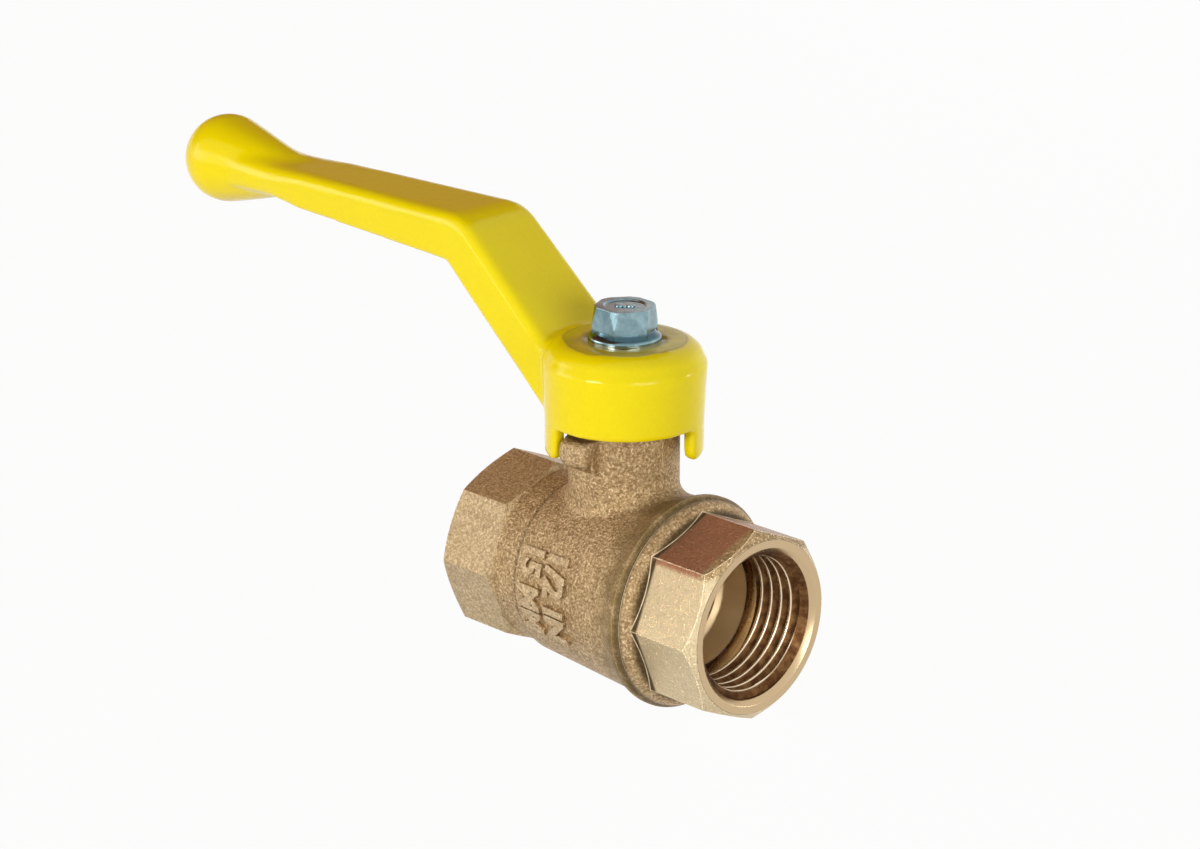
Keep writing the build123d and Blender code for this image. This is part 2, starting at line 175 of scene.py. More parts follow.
def step(tree, value, low, high, share=1.0, smooth=False):
    # Rises from 0 at low to share at high, both in millimetres
    return ramp(tree, value, mm(low), mm(high), 0.0, share, smooth)


def fall(tree, value, low, high, share=1.0, smooth=False):
    # Falls from share at low to 0 at high, both in millimetres
    return ramp(tree, value, mm(low), mm(high), share, 0.0, smooth)


# Forged and blasted brass, with turned surfaces where the tools have been
forging = {
    "pale": (0.54, 0.38, 0.20, 1),
    "dark": (0.275, 0.18, 0.08, 1),
    # painted glints: highlights put into the colour of the brightest grains
    "paintedGlint": (0.86, 0.68, 0.44, 1),
    "turned": (0.60, 0.44, 0.255, 1),
    "stain": (0.20, 0.105, 0.04, 1),
    # painted shade on the barrel next to the flange
    "olive": (0.20, 0.135, 0.05, 1),
    # a painted reflection on the connector's top flats
    "paintedReflection": (0.36, 0.15, 0.085, 1),
    "fresh": (0.82, 0.67, 0.42, 1),
    # worn bright edges, partly a painted highlight
    "edge": (0.90, 0.74, 0.50, 1),
    # painted light deep in the throat
    "throat": (0.86, 0.66, 0.39, 1),
    # painted shade in the grooves, over a dark joint line
    "crease": (0.055, 0.034, 0.013, 1),
    "grain": 0.37,
    "grainDepth": 0.34,
    "stainShare": 0.3,
    "paintedGlintShare": 0.7,
    "blotch": 2.6,
    "boreRadius": 11.35,
    "throatRadius": 8.9,
    "frontFace": 26.46,
    "rearFace": -23.46,
    "octagons": (-13.3, 16.6),       # where the rear one ends and the front one starts
    "freshShares": (0.2, 0.64),
    # Where each crease runs along the pipe, its width and its share of the darkening: painted
    # shade in the groove, over a dark joint line where body and connector meet
    "creases": [(-8.7, 0.7, 0.45), (13.75, 0.65, 1.0), (16.05, 0.9, 0.9)],
    "creaseReach": (13.6, 15.6),
    "mouthShade": (6.0, 12.5),
    "bandAt": 3.8,
    "barrelTop": (15.2, 16.2),
    "neckFoot": 16.5,
    "upperFlat": (8.8, 9.4),
    "partingLine": (0.12, 0.4),
    "formDepth": 0.12,
    "marks": {"bore": 0.16, "face": 0.14, "wander": 5.0, "depth": 0.006},
}


def makeForgedBrass(settings):
    material, tree, shader, where = startMaterial(
        "forgedBrass", {"Metallic": 1.0, "Specular IOR Level": 0.5}
    )
    x, y, z = place(tree, where)
    radius = distance(tree, y, z)
    rearEnd, frontEnd = settings["octagons"]
    edge = 0.05
    # Turned: inside the bores and on the end faces
    bore, deep = settings["boreRadius"], settings["throatRadius"]
    front, rear = settings["frontFace"], settings["rearFace"]
    faces = larger(
        tree, step(tree, x, front, front + edge / 3), fall(tree, x, rear - edge / 3, rear)
    )
    turned = larger(tree, fall(tree, radius, bore, bore + edge), faces)
    # Deep in the throat the colour is painted paler: painted light inside the bore
    throat = fall(tree, radius, deep, deep + edge)
    rough = calculate(tree, "SUBTRACT", 1.0, turned)
    onBarrel = fall(tree, z, *settings["barrelTop"])
    colour, grains, blotch = blastedTones(tree, where, settings)
    # Painted shade on the barrel where it widens to its mouth next to the flange, and painted
    # shade with a dark joint line in the creases
    low, high = settings["mouthShade"]
    # Painted shade: darker towards the flange, in patches
    darkening = product(
        tree, step(tree, x, low, high, smooth=True), fall(tree, x, high + 1.2, high + 1.6)
    )
    darkening = product(tree, darkening, ramp(tree, blotch, 0.35, 0.6, 0.4, 0.9))
    colour = mixColours(tree, product(tree, darkening, onBarrel), colour, settings["olive"])
    # Painted shade in the creases, darkest deep in the groove
    creases = product(tree, creaseLines(tree, x, settings), onBarrel)
    low, high = settings["creaseReach"]
    creases = product(tree, creases, ramp(tree, radius, mm(low), mm(high), 1.0, 0.25))
    colour = mixColours(tree, creases, colour, settings["crease"])
    # Fresher octagons, with a reddish painted reflection on top of the connector's
    low, high = settings["upperFlat"]
    rearFresh, frontFresh = settings["freshShares"]
    upper = product(tree, step(tree, z, low, high), step(tree, x, frontEnd - 0.4, frontEnd))
    fresh = product(
        tree, calculate(tree, "SUBTRACT", 1.0, upper),
        step(tree, x, frontEnd - 0.4, frontEnd, frontFresh),
    )
    fresh = larger(tree, fresh, product(
        tree, fall(tree, x, rearEnd, rearEnd + 0.2, rearFresh),
        ramp(tree, z, mm(high), mm(high + 0.2), 1.0, 0.6),
    ))
    colour = mixColours(tree, fresh, colour, settings["fresh"])
    # Painted reflection: reddish on the connector's top flats, fading towards the back and the
    # mouth
    upper = product(tree, upper, fall(tree, x, 24.2, 24.8, 0.85))
    upper = product(tree, upper, ramp(tree, y, mm(1.0), mm(8.0), 1.0, 0.3))
    colour = mixColours(tree, upper, colour, settings["paintedReflection"])
    # Bright wear along the edges, partly a painted highlight, then the turned surfaces over
    # everything
    wearAndHighlight = addNode(tree, "ShaderNodeAttribute", attribute_name="edgeWearAndHighlight").outputs["Fac"]
    wearAndHighlight = product(tree, wearAndHighlight, ramp(tree, blotch, 0.3, 0.6, 0.5, 1.0))
    colour = mixColours(tree, wearAndHighlight, colour, settings["edge"])
    colour = mixColours(tree, turned, colour, settings["turned"])
    colour = mixColours(tree, throat, colour, settings["throat"])
    tree.links.new(colour, shader.inputs["Base Color"])
    # A faint step round the barrel and a parting line down the neck's front
    band = settings["bandAt"]
    band = product(tree, step(tree, x, band - 0.35, band, smooth=True), onBarrel)
    foot = settings["neckFoot"]
    onNeck = product(tree, step(tree, z, foot, foot + 1), step(tree, x, 6.0, 6.5))
    line = fall(
        tree, calculate(tree, "ABSOLUTE", y), *settings["partingLine"], smooth=True
    )
    form = calculate(tree, "MULTIPLY_ADD", line, onNeck, band)
    normal = bumped(tree, product(tree, form, rough), settings["formDepth"])
    normal = bumped(tree, product(tree, grains, rough), settings["grainDepth"], under=normal)
    marks = product(tree, turningMarks(tree, x, radius, blotch, settings["marks"]), turned)
    normal = bumped(tree, marks, settings["marks"]["depth"], under=normal)
    tree.links.new(normal, shader.inputs["Normal"])
    # Gloss: the forged skin is dull, its octagons and edges less so, turned brass least
    octagon = larger(
        tree, fall(tree, x, rearEnd, rearEnd + 0.2, 0.6),
        step(tree, x, frontEnd - 0.2, frontEnd),
    )
    gloss = ramp(tree, grains, 0.3, 0.65, 0.56, 0.36)
    gloss = calculate(tree, "MULTIPLY_ADD", octagon, -0.14, gloss)
    gloss = calculate(tree, "MULTIPLY_ADD", wearAndHighlight, -0.12, gloss)
    smooth = ramp(tree, blotch, 0.3, 0.7, 0.22, 0.32)
    smooth = calculate(tree, "MULTIPLY_ADD", throat, 0.22, smooth)
    gloss = calculate(tree, "MULTIPLY_ADD", gloss, rough, product(tree, smooth, turned))
    tree.links.new(gloss, shader.inputs["Roughness"])
    return material


def blastedTones(tree, where, settings):
    # Fine and coarse grain over blotches, with painted glints, which stand for highlights, on
    # the brightest grains
    fine = speckle(tree, where, settings["grain"], 4.0, 0.72)
    coarse = speckle(tree, where, settings["grain"] * 2.2, 2.0, 0.5)
    blotch = speckle(tree, where, settings["blotch"], 3.0, 0.55)
    grains = calculate(tree, "MULTIPLY_ADD", coarse, 0.2, product(tree, fine, 0.8))
    tone = ramp(tree, grains, 0.41, 0.56)
    colour = mixColours(tree, tone, settings["dark"], settings["pale"])
    spread = ramp(tree, blotch, 0.4, 0.72, 0.0, settings["stainShare"])
    colour = mixColours(tree, spread, colour, settings["stain"])
    # Painted glints: paler colour standing in for highlights
    paintedGlint = ramp(tree, fine, 0.55, 0.66, 0.0, settings["paintedGlintShare"])
    return mixColours(tree, paintedGlint, colour, settings["paintedGlint"]), grains, blotch


def creaseLines(tree, x, settings):
    lines = 0.0
    for at, width, share in settings["creases"]:
        away = calculate(tree, "ABSOLUTE", calculate(tree, "SUBTRACT", x, mm(at)))
        lines = larger(tree, fall(tree, away, width * 0.3, width, share, True), lines)
    return lines


def turningMarks(tree, x, radius, blotch, settings):
    # Rings along the bore and circles on the end faces, from 0 to 1
    wander = product(tree, blotch, settings["wander"])
    rings = calculate(tree, "MULTIPLY_ADD", x, 1 / mm(settings["bore"]), wander)
    circles = calculate(tree, "MULTIPLY_ADD", radius, 1 / mm(settings["face"]), wander)
    both = calculate(
        tree, "ADD", calculate(tree, "SINE", rings), calculate(tree, "SINE", circles)
    )
    return calculate(tree, "MULTIPLY_ADD", both, 0.25, 0.5)


forgedBrass = makeForgedBrass(forging)


# Yellow powder paint on the lever
paint = {
    "clean": (0.97, 0.80, 0.0, 1),
    "deep": (0.93, 0.745, 0.0, 1),
    "worn": (0.40, 0.33, 0.03, 1),
    "darkening": (0.22, 0.19, 0.05, 1),
    "ripple": 1.6,
    "rippleDepth": 0.035,
    "fleck": 0.5,
    "fleckDepth": 0.006,
    "shade": 14.0,
    "patch": 6.5,
    "unevenness": 2.6,
    "landLevel": 34.5,
    "ringRadius": 8.8,
    "screwFoot": (5.4, 6.6),
}


def makeYellowPaint(settings):
    material, tree, shader, where = startMaterial("yellowPaint", {
        "Metallic": 0.0,
        "IOR": 1.5,
        "Specular IOR Level": 0.22,
    })
    x, y, z = place(tree, where)
    ripple = speckle(tree, where, settings["ripple"], 1.5, 0.45)
    fleck = speckle(tree, where, settings["fleck"], 2.0)
    shade = speckle(tree, where, settings["shade"], 2.0)
    patch = speckle(tree, where, settings["patch"], 2.0, 0.5)
    tone = calculate(tree, "MULTIPLY_ADD", shade, 0.6, product(tree, fleck, 0.4))
    tone = ramp(tree, tone, 0.35, 0.65)
    colour = mixColours(tree, tone, settings["deep"], settings["clean"])
    # Worn land under the screw, darker along its uneven rim and round the screw's foot
    uneven, level, ring = settings["unevenness"], settings["landLevel"], settings["ringRadius"]
    wavy = calculate(tree, "MULTIPLY_ADD", patch, mm(uneven), calculate(
        tree, "SUBTRACT", distance(tree, x, y), mm(uneven / 2)
    ))
    onLand = step(tree, z, level, level + 0.25)
    land = product(tree, onLand, fall(tree, wavy, ring - 0.3, ring))
    grime = ramp(tree, patch, 0.35, 0.65, 0.15, 0.75)
    colour = mixColours(tree, product(tree, land, grime), colour, settings["worn"])
    rim = calculate(tree, "ABSOLUTE", calculate(tree, "SUBTRACT", wavy, mm(ring - 0.15)))
    rim = fall(tree, rim, 0.05, 0.35, 0.4, smooth=True)
    foot = fall(tree, wavy, *settings["screwFoot"], 0.8, smooth=True)
    darkening = product(tree, onLand, larger(tree, rim, foot))
    colour = mixColours(tree, darkening, colour, settings["darkening"])
    tree.links.new(colour, shader.inputs["Base Color"])
    tree.links.new(ramp(tree, fleck, 0.3, 0.7, 0.12, 0.17), shader.inputs["Roughness"])
    normal = bumped(tree, ripple, settings["rippleDepth"])
    normal = bumped(tree, fleck, settings["fleckDepth"], under=normal)
    tree.links.new(normal, shader.inputs["Normal"])
    return material


yellowPaint = makeYellowPaint(paint)


# Blue-grey zinc plating on the screw
plating = {
    "bright": (0.31, 0.45, 0.48, 1),
    "dull": (0.17, 0.27, 0.30, 1),
    # painted shade where the flange meets the hexagon
    "hollow": (0.035, 0.085, 0.11, 1),
    # a painted highlight on the flange's lower rim
    "paintedReflection": (0.62, 0.60, 0.46, 1),
    "cloud": 2.4,
    "cloudDepth": 0.012,
    "grit": 0.12,
    "gritDepth": 0.004,
    "flangeFoot": (35.25, 35.45),
    "hollowFrom": (35.75, 35.95),
    "hollowTo": (36.5, 36.9),
}


def makeZincPlate(settings):
    material, tree, shader, where = startMaterial("zincPlate", {"Metallic": 1.0})
    cloud = speckle(tree, where, settings["cloud"], 3.0, 0.6)
    grit = speckle(tree, where, settings["grit"], 2.0)
    _, _, z = place(tree, where)
    tone = ramp(tree, cloud, 0.35, 0.65)
    colour = mixColours(tree, tone, settings["dull"], settings["bright"])
    # A painted highlight: the flange's lower rim paler
    low = fall(tree, z, *settings["flangeFoot"], 0.8)
    colour = mixColours(tree, low, colour, settings["paintedReflection"])
    # Painted shade where the flange's top meets the hexagon
    hollow = product(
        tree, step(tree, z, *settings["hollowFrom"]),
        fall(tree, z, *settings["hollowTo"], 0.85),
    )
    colour = mixColours(tree, hollow, colour, settings["hollow"])
    tree.links.new(colour, shader.inputs["Base Color"])
    tree.links.new(ramp(tree, cloud, 0.3, 0.7, 0.12, 0.2), shader.inputs["Roughness"])
    normal = bumped(tree, grit, settings["gritDepth"])
    normal = bumped(tree, cloud, settings["cloudDepth"], under=normal)
    tree.links.new(normal, shader.inputs["Normal"])
    return material


zincPlate = makeZincPlate(plating)


# Turned brass for the stem and the gland nut, marked by the tool round the stem's axis
turning = {
    "dull": (0.62, 0.42, 0.19, 1),
    "bright": (0.80, 0.60, 0.31, 1),
    "cloud": 1.2,
    "ringPitch": 0.2,
    "ringDepth": 0.004,
}


def makeTurnedBrass(settings):
    material, tree, shader, where = startMaterial("turnedBrass", {"Metallic": 1.0})
    cloud = speckle(tree, where, settings["cloud"], 3.0)
    _, _, z = place(tree, where)
    wander = product(tree, cloud, 3.0)
    rings = calculate(tree, "SINE", calculate(
        tree, "MULTIPLY_ADD", z, 2 * math.pi / mm(settings["ringPitch"]), wander
    ))
    colour = mixColours(tree, ramp(tree, cloud, 0.3, 0.7), settings["dull"], settings["bright"])
    tree.links.new(colour, shader.inputs["Base Color"])
    tree.links.new(ramp(tree, cloud, 0.3, 0.7, 0.2, 0.32), shader.inputs["Roughness"])
    height = calculate(tree, "MULTIPLY_ADD", rings, 0.5, 0.5)
    tree.links.new(bumped(tree, height, settings["ringDepth"]), shader.inputs["Normal"])
    return material


# Thread: painted shade on the flanks and grooves, and painted highlights on the crests
threadTones = {
    "groove": (0.09, 0.036, 0.013, 1),
    "flank": (0.23, 0.12, 0.045, 1),
    "crest": (0.86, 0.70, 0.50, 1),
    "crestRadius": 9.42,
    "cloud": 1.4,
    "grit": 0.18,
    "gritDepth": 0.02,
}


def makeThreadBrass(settings):
    material, tree, shader, where = startMaterial("threadBrass", {"Metallic": 1.0})
    _, y, z = place(tree, where)
    cloud = speckle(tree, where, settings["cloud"], 3.0, 0.6)
    grit = speckle(tree, where, settings["grit"], 2.0)
    tone = ramp(tree, cloud, 0.4, 0.7)
    colour = mixColours(tree, tone, settings["groove"], settings["flank"])
    top = settings["crestRadius"]
    # Painted highlights: the crests paler
    crest = fall(tree, distance(tree, y, z), top, top + 0.12)
    colour = mixColours(tree, crest, colour, settings["crest"])
    tree.links.new(colour, shader.inputs["Base Color"])
    tree.links.new(ramp(tree, crest, 0.0, 1.0, 0.46, 0.2), shader.inputs["Roughness"])
    tree.links.new(bumped(tree, grit, settings["gritDepth"]), shader.inputs["Normal"])
    return material


threadBrass = makeThreadBrass(threadTones)


# Chrome on the ball, with its port left brassy
chrome = {
    "dull": (0.66, 0.67, 0.69, 1),
    "bright": (0.78, 0.79, 0.80, 1),
    "port": (0.55, 0.38, 0.19, 1),
    "portRadius": 7.55,
    "haze": 2.0,
    "hazeDepth": 0.004,
}


def makeChrome(settings):
    material, tree, shader, where = startMaterial("chromedBall", {"Metallic": 1.0})
    _, y, z = place(tree, where)
    haze = speckle(tree, where, settings["haze"], 4.0, 0.6)
    edge = settings["portRadius"]
    port = fall(tree, distance(tree, y, z), edge, edge + 0.1)
    colour = mixColours(tree, ramp(tree, haze, 0.3, 0.7), settings["dull"], settings["bright"])
    colour = mixColours(tree, port, colour, settings["port"])
    tree.links.new(colour, shader.inputs["Base Color"])
    gloss = ramp(tree, haze, 0.3, 0.7, 0.08, 0.16)
    gloss = calculate(tree, "MULTIPLY_ADD", port, 0.42, gloss)
    tree.links.new(gloss, shader.inputs["Roughness"])
    tree.links.new(bumped(tree, haze, settings["hazeDepth"]), shader.inputs["Normal"])
    return material


# Tanned plastic in the seats and washers
plastic = {
    "dark": (0.26, 0.18, 0.10, 1),
    "pale": (0.34, 0.245, 0.14, 1),
    "cloud": 1.5,
    "grit": 0.2,
    "gritDepth": 0.01,
    "softDepth": 0.5,
}


def makeSeatPlastic(settings):
    material, tree, shader, where = startMaterial("seatPlastic", {
        "Subsurface Weight": 0.15,
        "Subsurface Scale": mm(settings["softDepth"]),
    })
    cloud = speckle(tree, where, settings["cloud"], 3.0)
    grit = speckle(tree, where, settings["grit"])
    colour = mixColours(tree, ramp(tree, cloud, 0.3, 0.7), settings["dark"], settings["pale"])
    tree.links.new(colour, shader.inputs["Base Color"])
    tree.links.new(ramp(tree, cloud, 0.3, 0.7, 0.4, 0.55), shader.inputs["Roughness"])
    tree.links.new(bumped(tree, grit, settings["gritDepth"]), shader.inputs["Normal"])
    return material


# Black rubber rings
rubber = {
    "dark": (0.012, 0.012, 0.013, 1),
    "dusty": (0.035, 0.034, 0.033, 1),
    "dust": 0.4,
    "dustDepth": 0.02,
}


def makeRubber(settings):
    material, tree, shader, where = startMaterial("blackRubber", {"IOR": 1.45})
    dust = speckle(tree, where, settings["dust"], 3.0)
    colour = mixColours(tree, ramp(tree, dust, 0.4, 0.8), settings["dark"], settings["dusty"])
    tree.links.new(colour, shader.inputs["Base Color"])
    tree.links.new(ramp(tree, dust, 0.3, 0.7, 0.5, 0.7), shader.inputs["Roughness"])
    tree.links.new(bumped(tree, dust, settings["dustDepth"]), shader.inputs["Normal"])
    return material


turnedBrass = makeTurnedBrass(turning)
chromedBall = makeChrome(chrome)
seatPlastic = makeSeatPlastic(plastic)
blackRubber = makeRubber(rubber)
print("materials made")


# Shared helpers for pieces: how near points are joined, how flat faces are merged,
# and how many steps go round a turned form
joining = {"near": 0.003, "nearFine": 0.002, "flatAngle": 0.5, "turnSteps": 72}


def loadedCopy(nodeName):
    # The CAD node's own form, with its loose triangles joined up
    bm = bmesh.new()
    bm.from_mesh(nodes[nodeName].data)
    bmesh.ops.remove_doubles(bm, verts=bm.verts, dist=mm(joining["near"]))
    return bm


def mergeFlats(bm):
    bmesh.ops.dissolve_limit(
        bm, angle_limit=math.radians(joining["flatAngle"]), verts=bm.verts, edges=bm.edges
    )


def sharpEdges(bm, angle):
    limit = math.radians(angle)
    return [e for e in bm.edges if len(e.link_faces) == 2 and e.calc_face_angle() > limit]


def asMesh(bm, name):
    mesh = bpy.data.meshes.new(name)
    bm.to_mesh(mesh)
    bm.free()
    return mesh


def linked(name, data):
    holder = bpy.data.objects.new(name, data)
    bpy.context.scene.collection.objects.link(holder)
    return holder


def evaluatedMesh(holder):
    # The object's mesh with its modifiers applied; the object itself goes
    mesh = bpy.data.meshes.new_from_object(
        holder.evaluated_get(bpy.context.evaluated_depsgraph_get())
    )
    bpy.data.objects.remove(holder)
    return mesh


def intoBmesh(mesh):
    bm = bmesh.new()
    bm.from_mesh(mesh)
    bpy.data.meshes.remove(mesh)
    return bm


def finishPiece(name, bm, material, body, sharpAngle):
    mesh = asMesh(bm, name)
    if "custom_normal" in mesh.attributes:
        mesh.attributes.remove(mesh.attributes["custom_normal"])
    mesh.shade_smooth()
    mesh.set_sharp_from_angle(angle=math.radians(sharpAngle))
    mesh.materials.clear()
    mesh.materials.append(material)
    piece = linked(name, mesh)
    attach(piece, body)
    return piece


def lathed(outline, steps):
    # A form turned about Z from (height, radius) points that start and end on the axis
    bm = bmesh.new()
    ring = [bm.verts.new((mm(radius), 0, mm(height))) for height, radius in outline]
    edges = [bm.edges.new(pair) for pair in zip(ring, ring[1:])]
    bmesh.ops.spin(
        bm, geom=ring + edges, cent=(0, 0, 0), axis=(0, 0, 1), dvec=(0, 0, 0),
        angle=2 * math.pi, steps=steps, use_merge=False,
    )
    bmesh.ops.remove_doubles(bm, verts=bm.verts, dist=mm(joining["nearFine"]))
    bmesh.ops.recalc_face_normals(bm, faces=bm.faces)
    return bm


def overlap(first, second):
    # What two closed forms have in common
    form, other = (linked("form", asMesh(bm, "form")) for bm in (first, second))
    cut = form.modifiers.new("cut", "BOOLEAN")
    cut.operation = "INTERSECT"
    cut.solver = "EXACT"
    cut.object = other
    bm = intoBmesh(evaluatedMesh(form))
    bpy.data.objects.remove(other)
    bmesh.ops.remove_doubles(bm, verts=bm.verts, dist=mm(joining["nearFine"]))
    return bm


def setRadius(vert, radius):
    factor = radius / math.hypot(vert.co.y, vert.co.z)
    vert.co.y *= factor
    vert.co.z *= factor


def smoothed(bm, verts):
    bmesh.ops.smooth_vert(
        bm, verts=verts, factor=0.5, use_axis_x=True, use_axis_y=True, use_axis_z=True
    )


def bevelled(bm, edges, rounding, segments):
    # Rounded edges, whose middle is marked as worn bright, partly a painted highlight
    wearAndHighlight = bm.verts.layers.float.new("edgeWearAndHighlight")
    made = bmesh.ops.bevel(
        bm, geom=edges, affect="EDGES", offset_type="OFFSET", offset=rounding,
        segments=segments, profile=0.5, clamp_overlap=True, material=-1,
    )
    rounded = set(made["faces"])
    for v in made["verts"]:
        v[wearAndHighlight] = 1.0 if all(f in rounded for f in v.link_faces) else 0.0


def softenedCopy(nodeName, settings):
    # A forged node's own form with its sharp outer edges rounded
    bm = loadedCopy(nodeName)
    if "throat" in settings:
        coneThroat(bm, settings["throat"])
    if "lug" in settings:
        roundLug(bm, settings["lug"])
    mergeFlats(bm)
    sharp = [
        e for e in sharpEdges(bm, settings["edgeAngle"])
        if min(math.hypot(v.co.y, v.co.z) for v in e.verts) > mm(settings["outside"])
    ]
    bevelled(bm, sharp, mm(settings["rounding"]), settings["segments"])
    piece = finishPiece(
        nodeName + "_finished", bm, forgedBrass, "valve_body",
        settings["sharpAngle"],
    )
    weighted = piece.modifiers.new("flatFaces", "WEIGHTED_NORMAL")
    weighted.keep_sharp = True
    weighted.weight = settings["flatWeight"]
    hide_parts(nodeName)
    print(piece.name, len(piece.data.polygons), "faces")


def coneThroat(bm, settings):
    # The throat's inner rim is drawn in, which makes the bore before it a cone
    near = mm(settings["within"])
    for v in bm.verts:
        radius = math.hypot(v.co.y, v.co.z)
        offAlong, offOut = v.co.x - mm(settings["at"]), radius - mm(settings["from"])
        if max(abs(offAlong), abs(offOut)) < near:
            setRadius(v, mm(settings["to"]))


def roundLug(bm, settings):
    # The stop lug is a soft forged knob: its nose is divided and smoothed
    side, low, high = mm(settings["side"]), mm(settings["low"]), mm(settings["high"])

    def inZone(v, limit):
        return abs(v.co.x) < side and v.co.y < mm(limit) and low < v.co.z < high

    def lugFaces():
        return [f for f in bm.faces if all(inZone(v, settings["root"]) for v in f.verts)]

    bmesh.ops.triangulate(bm, faces=lugFaces())
    for _ in range(settings["divisions"]):
        edges = {e for f in lugFaces() for e in f.edges}
        long = [e for e in edges if e.calc_length() > mm(settings["longEdge"])]
        bmesh.ops.subdivide_edges(bm, edges=long, cuts=1)
        bmesh.ops.triangulate(bm, faces=lugFaces())
    for _ in range(settings["rounds"]):
        smoothed(bm, [v for v in bm.verts if inZone(v, settings["nose"])])


# Body and end connector: forged edges, crisp inside the bores
forgedEdges = {
    "edgeAngle": 24,
    "outside": 9.9,
    "rounding": 0.28,
    "segments": 3,
    "sharpAngle": 40,
    "flatWeight": 80,
}
stopLug = {
    "side": 2.9,
    "low": 17.0,
    "high": 22.7,
    "root": -6.9,
    "nose": -8.6,
    "divisions": 3,
    "longEdge": 0.45,
    "rounds": 14,
}
throatCone = {"at": 12.287, "from": 8.7, "to": 7.83, "within": 0.05}
softenedCopy("body", forgedEdges | {"lug": stopLug})
softenedCopy("end_connector", forgedEdges | {"throat": throatCone})

# Lever: a casting under thick paint, so every edge is soft, most of all at the bulb
leverSkin = {
    "grid": 0.36,
    "rounds": 6,
    "bulbZone": (-82.0, -64.0),
    "bulbRounds": 60,
    "sharpAngle": 60,
    "shoulder": {
        "level": 32.05,
        "radius": 11.5,
        "inner": 9.9,
        "from": 29.4,
        "to": 33.7,
        "fade": 0.5,
        "armSide": -6.0,
        "armFade": 2.0,
        "draft": 0.046,
        "fall": 0.5,
        "soft": 0.24,
    },
}


def softCasting(nodeName, settings):
    holder = linked(nodeName + "_rough", asMesh(loadedCopy(nodeName), nodeName + "_rough"))
    remesh = holder.modifiers.new("grid", "REMESH")
    remesh.mode = "VOXEL"
    remesh.voxel_size = mm(settings["grid"])
    bm = intoBmesh(evaluatedMesh(holder))
    for _ in range(settings["rounds"]):
        smoothed(bm, bm.verts)
    # The bulb's neck is smoothed most in its middle
    low, high = settings["bulbZone"]
    middle, half = mm(low + high) / 2, mm(high - low) / 2
    for count in range(settings["bulbRounds"]):
        reach = half * (1 - count / settings["bulbRounds"])
        smoothed(bm, [v for v in bm.verts if abs(v.co.x - middle) < reach])
    crispShoulder(bm, settings["shoulder"])
    piece = finishPiece(
        nodeName + "_finished", bm, yellowPaint, "operating",
        settings["sharpAngle"],
    )
    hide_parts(nodeName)
    print(piece.name, len(piece.data.polygons), "faces")


def crispShoulder(bm, settings):
    # The hub's side and slope go back to their straight lines, away from the arm
    edgeZ, edgeR, soft = settings["level"], settings["radius"], settings["soft"]
    low, high, fade = settings["from"], settings["to"], settings["fade"]
    for v in bm.verts:
        x, y, z = v.co * 1000
        radius = math.hypot(x, y)
        if radius < settings["inner"] or not low < z < high or x < settings["armSide"]:
            continue
        armShare = (x - settings["armSide"]) / settings["armFade"]
        share = min(1, (z - low) / fade, (high - z) / fade, armShare)
        side = edgeR - (edgeZ - z) * settings["draft"]
        slope = edgeR - (z - edgeZ) * settings["fall"]
        corner = max(0, soft - abs(side - slope))
        line = min(side, slope) - corner ** 2 / (4 * soft)
        factor = 1 + share * (line / radius - 1)
        v.co.x *= factor
        v.co.y *= factor


softCasting("lever", leverSkin)

# Flanged hexagon screw with its corners turned down at the top
screwForm = {
    "turn": -4.0,
    "rounding": 0.06,
    "roundedAngle": 35,
    "sharpAngle": 12,
    "hexagon": [(35.1, 0), (35.1, 4.619), (40.05, 4.619), (40.05, 0)],
    "turnedTo": [
        (34.9, 0), (34.9, 4.98), (40.05, 4.22), (40.05, 2.95), (39.85, 2.8), (39.85, 0),
    ],
    "flange": [
        (35.05, 0), (35.05, 4.95), (35.12, 5.07), (35.2, 5.1), (35.6, 5.1), (35.75, 5.04),
        (35.88, 4.88), (36.05, 4.6), (36.3, 4.38), (36.7, 4.2), (36.7, 0),
    ],
    "shank": [(25.05, 0), (25.05, 2.15), (25.35, 2.45), (35.06, 2.45), (35.06, 0)],
}


def makeScrew(settings):
    steps = joining["turnSteps"]
    hexagon = lathed(settings["hexagon"], 6)
    turn = Quaternion((0, 0, 1), math.radians(settings["turn"])).to_matrix()
    bmesh.ops.rotate(hexagon, verts=hexagon.verts, cent=(0, 0, 0), matrix=turn)
    bm = overlap(hexagon, lathed(settings["turnedTo"], steps))
    mergeFlats(bm)
    bmesh.ops.bevel(
        bm, geom=sharpEdges(bm, settings["roundedAngle"]), affect="EDGES",
        offset_type="OFFSET", offset=mm(settings["rounding"]), segments=2, profile=0.5,
        clamp_overlap=True, material=-1,
    )
    for outline in (settings["flange"], settings["shank"]):
        part = asMesh(lathed(outline, steps), "part")
        bm.from_mesh(part)
        bpy.data.meshes.remove(part)
    bmesh.ops.recalc_face_normals(bm, faces=bm.faces)
    piece = finishPiece(
        "lever_screw_finished", bm, zincPlate, "operating",
        settings["sharpAngle"],
    )
    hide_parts("lever_screw")


makeScrew(screwForm)
print("softened copies made")


# Threads: a ridge wound inside each mouth, cut back by the countersink
pipeThread = {
    "pitch": 1.814,
    "wall": 10.53,
    "profile": [
        (-0.907, 10.465), (-0.72, 10.40), (-0.21, 9.42), (-0.10, 9.335),
        (0.0, 9.315), (0.10, 9.335), (0.21, 9.42), (0.72, 10.40), (0.907, 10.465),
    ],
    "stepsPerTurn": 96,
    "length": 10.0,
    "mouthRadius": 11.2,
    "lipLeft": 0.70,
    "reach": {"front": 26.487, "rear": 23.487},
    "sharpAngle": 60,
}


